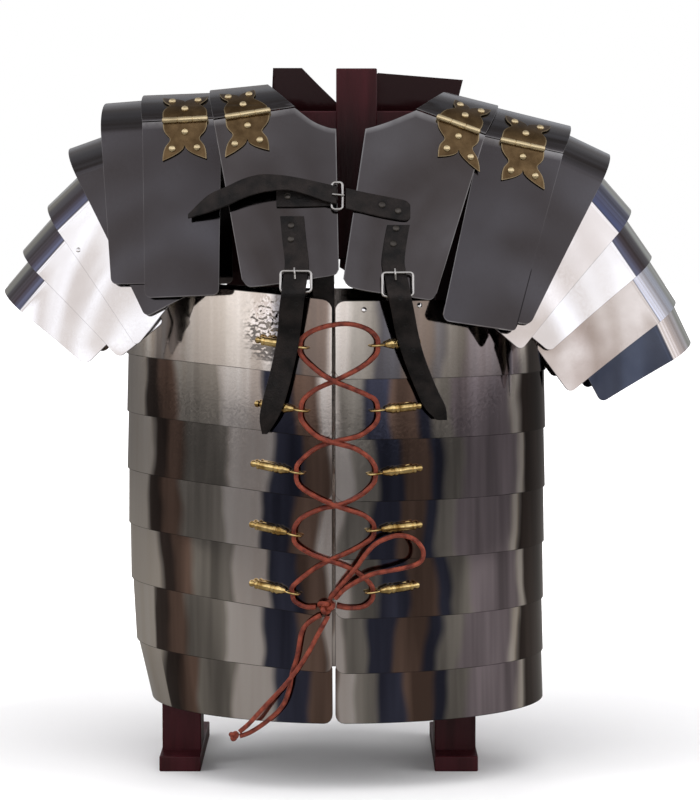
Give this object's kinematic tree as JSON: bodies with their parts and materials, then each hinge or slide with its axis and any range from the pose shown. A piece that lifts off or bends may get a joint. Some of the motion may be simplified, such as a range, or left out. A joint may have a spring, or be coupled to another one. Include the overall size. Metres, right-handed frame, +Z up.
{
  "type": "segmented plate armour on a low wooden stand",
  "caption": "Laminated steel body armour: overlapping girdle hoops laced down the front with a leather lace, hinged and strapped shoulder plates, resting on a plain wooden stand.",
  "frame": {"origin": "bottom centre of the whole: the floor under the middle of the armour and its stand, measured without the lace", "axes": "+X to the viewer's right when facing the laced front, -Y out of the front, +Z up"},
  "size_m": [0.6663, 0.3357, 0.6836],
  "materials": {
    "dark_steel": "dark, oiled and near mirror-like",
    "bright_steel": "polished, with faint rubbing marks",
    "brass": "aged on the hinges, brighter on the tie fittings",
    "nickel": "plain bright wire",
    "black_leather": "black-brown, smooth, slightly worn",
    "red_leather": "round red-brown lace",
    "painted_wood": "maroon, semi-gloss"
  },
  "bodies": {
    "root": {"back_plate_left": "dark_steel", "back_plate_right": "dark_steel", "breast_plate_left": "dark_steel", "breast_plate_right": "dark_steel", "buckle_centre": "nickel", "buckle_left": "nickel", "buckle_right": "nickel", "buckle_tab_left": "black_leather", "buckle_tab_right": "black_leather", "cross_strap_left": "black_leather", "cross_strap_right": "black_leather", "girdle_hoop_1": "bright_steel", "girdle_hoop_2": "bright_steel", "girdle_hoop_3": "bright_steel", "girdle_hoop_4": "bright_steel", "girdle_hoop_5": "bright_steel", "girdle_hoop_6": "bright_steel", "girdle_hoop_7": "bright_steel", "hanging_strap_left": "black_leather", "hanging_strap_right": "black_leather", "hinge_left_1_back": "brass", "hinge_left_1_front": "brass", "hinge_left_2_front": "brass", "hinge_right_1_back": "brass", "hinge_right_1_front": "brass", "hinge_right_2_front": "brass", "inner_tab": "black_leather", "lace_bow": "red_leather", "lace_crossing": "red_leather", "lace_end_knot": "red_leather", "lace_knot": "red_leather", "lace_tail_a": "red_leather", "lace_tail_b": "red_leather", "rear_plate_left_2": "dark_steel", "rear_plate_right_2": "dark_steel", "second_plate_left": "dark_steel", "second_plate_right": "dark_steel", "shoulder_strip_left_3": "dark_steel", "shoulder_strip_left_4": "bright_steel", "shoulder_strip_left_5": "bright_steel", "shoulder_strip_left_6": "bright_steel", "shoulder_strip_left_7": "bright_steel", "shoulder_strip_right_3": "dark_steel", "shoulder_strip_right_4": "bright_steel", "shoulder_strip_right_5": "bright_steel", "shoulder_strip_right_6": "bright_steel", "shoulder_strip_right_7": "bright_steel", "stand": "painted_wood", "tie_fitting_left_1": "brass", "tie_fitting_left_2": "brass", "tie_fitting_left_3": "brass", "tie_fitting_left_4": "brass", "tie_fitting_left_5": "brass", "tie_fitting_right_1": "brass", "tie_fitting_right_2": "brass", "tie_fitting_right_3": "brass", "tie_fitting_right_4": "brass", "tie_fitting_right_5": "brass", "top_plate_left_1": "dark_steel", "top_plate_right_1": "dark_steel"}
  },
  "joints": []
}
